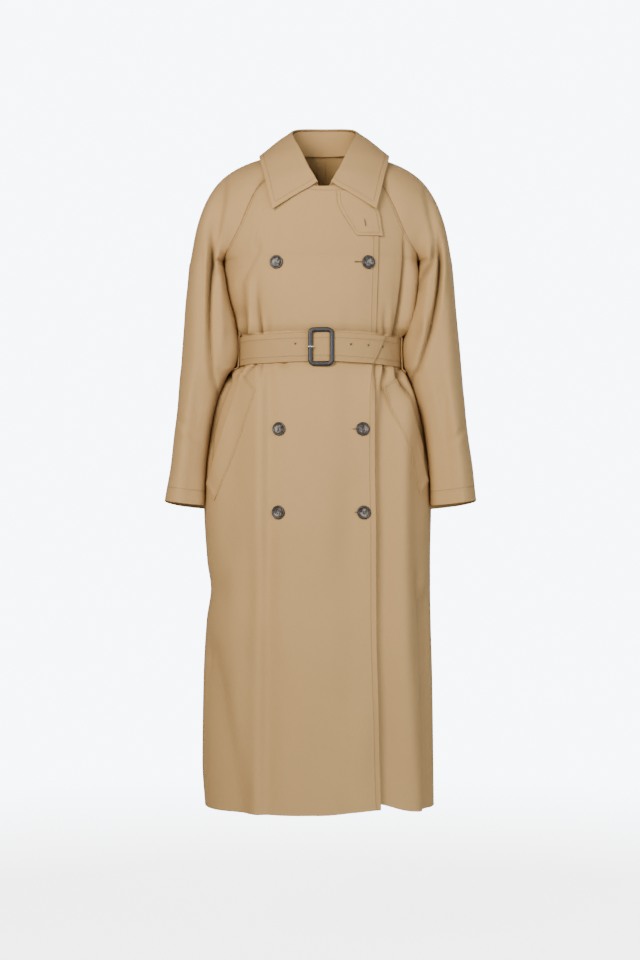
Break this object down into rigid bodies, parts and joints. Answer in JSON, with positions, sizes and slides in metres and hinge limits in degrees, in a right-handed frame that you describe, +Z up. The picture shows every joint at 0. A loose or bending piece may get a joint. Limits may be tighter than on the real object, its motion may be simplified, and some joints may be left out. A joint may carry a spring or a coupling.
{
  "type": "trench coat",
  "caption": "Long double-breasted trench coat with raglan sleeves, spread collar, throat latch, slanted welt pockets and a buckled belt, in its hollow worn form.",
  "frame": {"origin": "where the wearer's shoulders meet the base of the neck and carry the coat, on the centre line", "axes": "+Z up, the coat's front faces -Y, and +X is the wearer's left"},
  "size_m": [0.5818, 0.3441, 1.2751],
  "materials": {
    "gabardine": "matte cotton gabardine",
    "belt_cloth": "matte cotton gabardine",
    "button_horn": "mottled horn",
    "buckle_leather": "semi-gloss",
    "prong_metal": "polished"
  },
  "bodies": {
    "root": {"front_right": "gabardine", "front_left": "gabardine", "back_right": "gabardine", "back_left": "gabardine", "sleeve_right": "gabardine", "sleeve_left": "gabardine", "collar": "gabardine", "collar_stand": "gabardine", "throat_latch": "gabardine", "pocket_welt_right": "gabardine", "pocket_welt_left": "gabardine", "belt_loop_right": "gabardine", "belt_loop_left": "gabardine", "belt_band": "belt_cloth", "belt_tail": "belt_cloth", "button_top_right": "button_horn", "button_top_left": "button_horn", "button_middle_right": "button_horn", "button_middle_left": "button_horn", "button_bottom_right": "button_horn", "button_bottom_left": "button_horn", "buckle": "buckle_leather", "buckle_prong": "prong_metal"}
  },
  "joints": []
}
